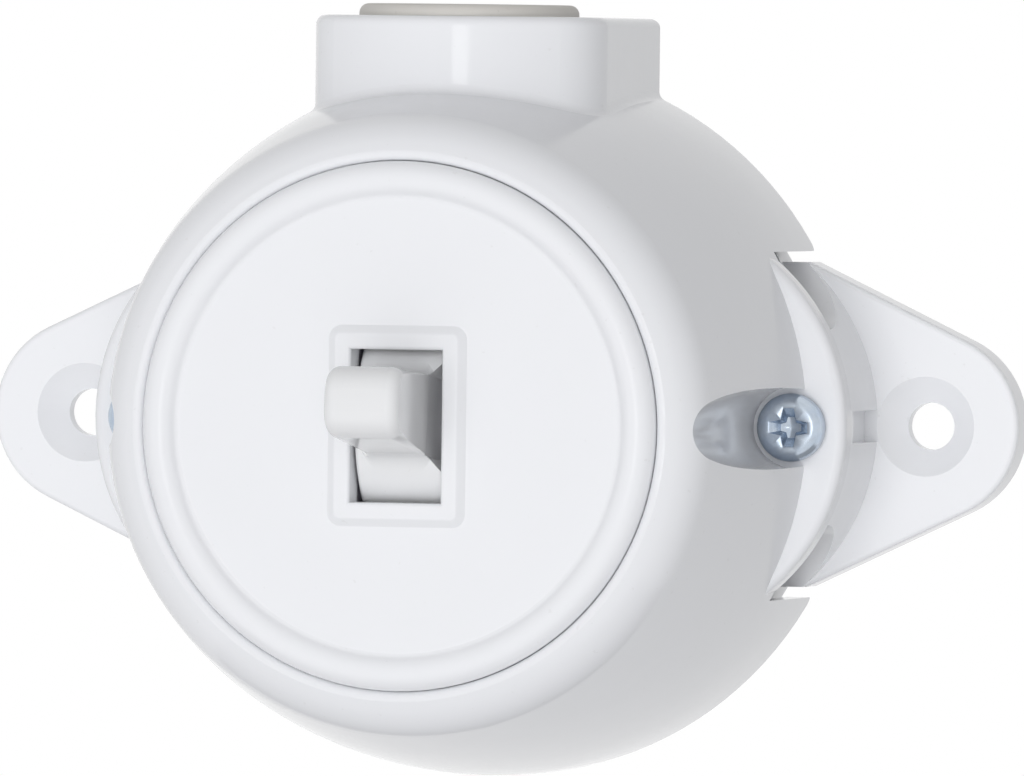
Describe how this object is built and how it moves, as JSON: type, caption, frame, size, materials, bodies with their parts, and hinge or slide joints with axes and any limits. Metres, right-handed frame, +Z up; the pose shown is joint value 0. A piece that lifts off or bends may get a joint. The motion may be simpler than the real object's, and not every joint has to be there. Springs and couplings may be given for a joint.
{
  "type": "surface-mounted light switch",
  "caption": "Round surface-mounted toggle light switch with a domed white cover, a hub on top for the cable, screw ears at the sides and a rocking contact inside.",
  "frame": {"origin": "on the wall face, on the axis of the round cover", "axes": "+Y into the wall, -Y out of the wall to the user, +Z up through the conduit hub, +X to the right as the user sees it"},
  "size_m": [0.1256, 0.0701, 0.0914],
  "materials": {
    "white_plastic": "glossy",
    "grommet_rubber": "matt, soft",
    "zinc_steel": "zinc-plated, slightly bluish",
    "frame_plastic": "dull light grey moulding",
    "plain_steel": "drawn",
    "nylon": "satin",
    "brass": "stamped sheet",
    "contact_silver": "satin silver rivet"
  },
  "bodies": {
    "housing": {"base_plate": "white_plastic", "cover_shell": "white_plastic", "front_plate": "white_plastic", "mechanism_frame": "frame_plastic", "lever_pivot_pin": "plain_steel", "rocker_support": "brass", "fixed_contact": "brass", "fixed_contact_tip": "contact_silver", "line_terminal_screw": "zinc_steel", "load_terminal_screw": "zinc_steel", "line_clamp_washer": "plain_steel", "load_clamp_washer": "plain_steel", "frame_screw_top": "zinc_steel", "frame_screw_bottom": "zinc_steel", "cover_screw_left": "zinc_steel", "cover_screw_right": "zinc_steel", "entry_grommet": "grommet_rubber"},
    "lever": {"toggle_lever": "white_plastic", "plunger_spring": "plain_steel"},
    "plunger": {"plunger": "nylon"},
    "rocker": {"contact_rocker": "brass", "rocker_contact_tip": "contact_silver"}
  },
  "joints": [
    {"name": "lever_tip", "type": "hinge", "parent": "housing", "child": "lever", "pos_m": [0, -0.0405, 0], "axis": [1, 0, 0], "range_deg": [0, 12.8]},
    {"name": "rocker_tip", "type": "hinge", "parent": "housing", "child": "rocker", "pos_m": [0, -0.02455, 0], "axis": [1, 0, 0], "range_deg": [-16, 0]},
    {"name": "plunger_slide", "type": "slide", "parent": "lever", "child": "plunger", "axis": [0, -0.9938, 0.1115], "range_m": [0, 0.0003], "stiffness_N_per_m": 200, "springref_m": -0.003}
  ],
  "couplings": [
    {"joint": "rocker_tip", "follows": "lever_tip", "ratio": -1.25}
  ]
}
